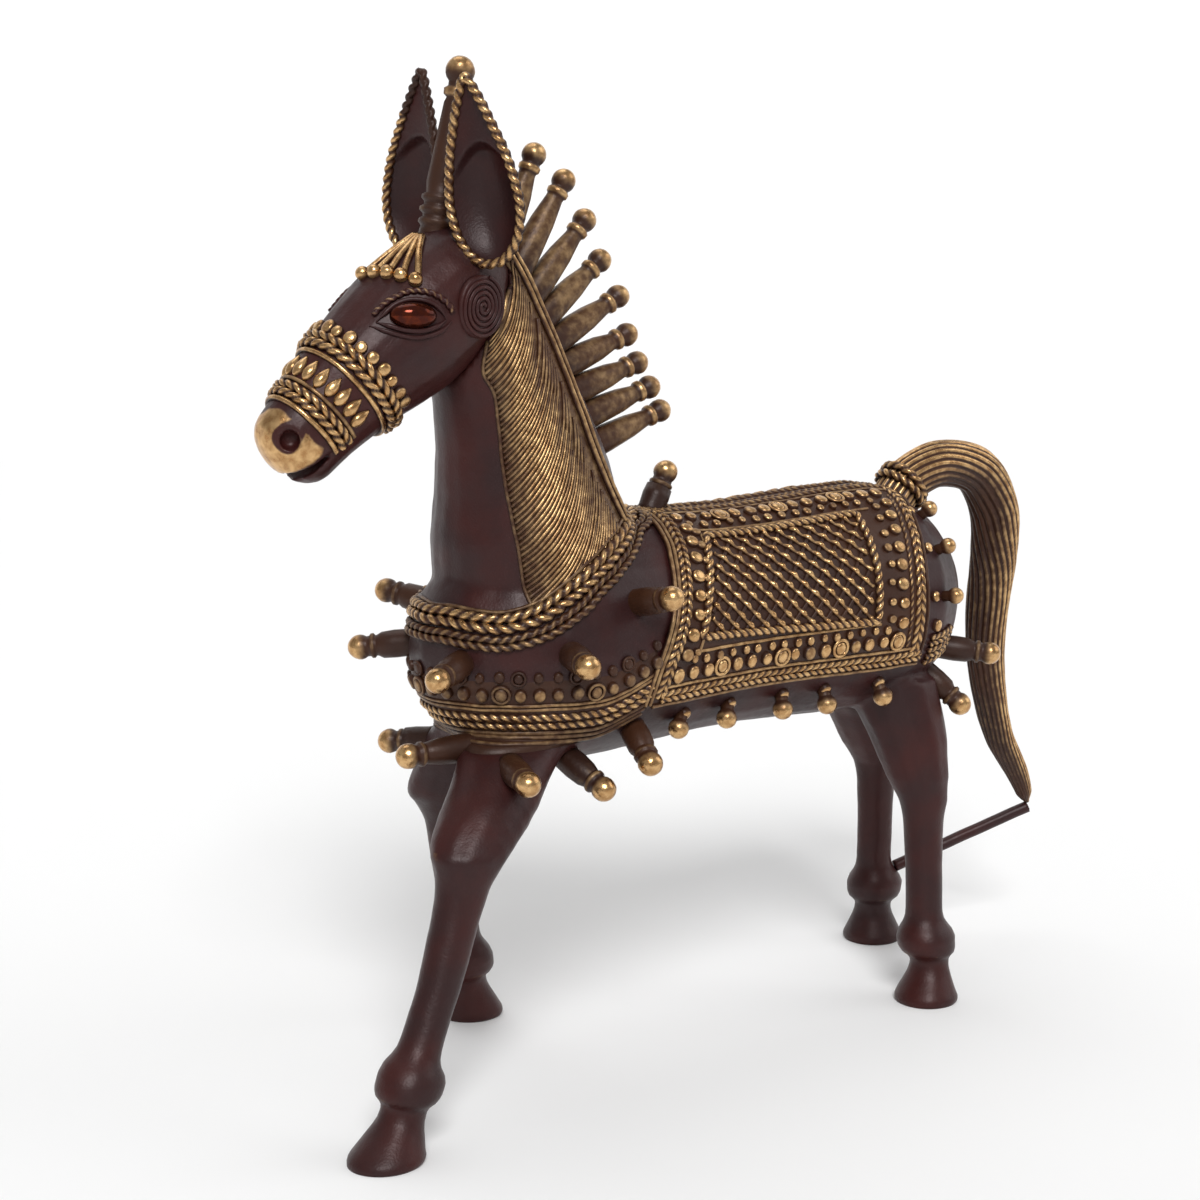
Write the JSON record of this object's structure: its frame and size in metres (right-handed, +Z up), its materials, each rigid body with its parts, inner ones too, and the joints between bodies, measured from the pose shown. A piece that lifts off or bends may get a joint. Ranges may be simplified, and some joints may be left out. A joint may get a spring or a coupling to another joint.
{
  "type": "brass horse figurine",
  "caption": "Standing cast-brass horse with cupped ears, spiked mane, studded harness and a patterned saddle blanket; a free-standing ornament that rests on its hooves.",
  "frame": {"origin": "on the floor under the middle of the bounding box, at the level of the soles", "axes": "X along the body with the head towards -X, Y across it with the horse's left side towards -Y, Z up"},
  "size_m": [0.3092, 0.108, 0.3009],
  "materials": {
    "patina_brass": "dark brown-maroon patina, semi-gloss, worn redder on raised places",
    "bright_brass": "raised ornament rubbed to bright brass, dark patina in its hollows",
    "copper_red_brass": "polished, copper red"
  },
  "bodies": {
    "root": {"torso": "patina_brass", "neck": "patina_brass", "head": "patina_brass", "leg_front_left": "patina_brass", "leg_front_right": "patina_brass", "leg_hind_left": "patina_brass", "leg_hind_right": "patina_brass", "tail": "patina_brass", "tail_ring": "bright_brass", "tail_brace": "patina_brass", "ear_left": "patina_brass", "ear_right": "patina_brass", "ear_rim_left": "bright_brass", "ear_rim_right": "bright_brass", "eye_left": "copper_red_brass", "eye_right": "copper_red_brass", "cheek_boss_left": "patina_brass", "cheek_boss_right": "patina_brass", "crest_post": "patina_brass", "forehead_fan": "bright_brass", "noseband_upper": "bright_brass", "noseband_lower": "bright_brass", "mane_panel_left": "bright_brass", "mane_panel_right": "bright_brass", "mane_spike_1": "bright_brass", "mane_spike_2": "bright_brass", "mane_spike_3": "bright_brass", "mane_spike_4": "bright_brass", "mane_spike_5": "bright_brass", "mane_spike_6": "bright_brass", "mane_spike_7": "bright_brass", "mane_spike_8": "bright_brass", "mane_spike_9": "bright_brass", "saddle_blanket": "bright_brass", "breast_band": "bright_brass", "neck_collar": "bright_brass", "saddle_panel_left": "bright_brass", "saddle_panel_right": "bright_brass", "fringe_left": "bright_brass", "fringe_right": "bright_brass", "rear_fringe_left": "bright_brass", "rear_fringe_right": "bright_brass", "withers_peg": "bright_brass", "foreleg_peg": "bright_brass", "shoulder_peg_left": "bright_brass", "shoulder_peg_right": "bright_brass", "breast_side_peg_left": "bright_brass", "breast_side_peg_right": "bright_brass", "breast_front_peg_left": "bright_brass", "breast_front_peg_right": "bright_brass", "chest_peg_left": "bright_brass", "chest_peg_right": "bright_brass", "elbow_peg_left": "bright_brass", "elbow_peg_right": "bright_brass", "girth_peg_left": "bright_brass", "girth_peg_right": "bright_brass", "rump_side_peg_left": "bright_brass", "rump_side_peg_right": "bright_brass", "rump_rear_peg_left": "bright_brass", "rump_rear_peg_right": "bright_brass"}
  },
  "joints": []
}
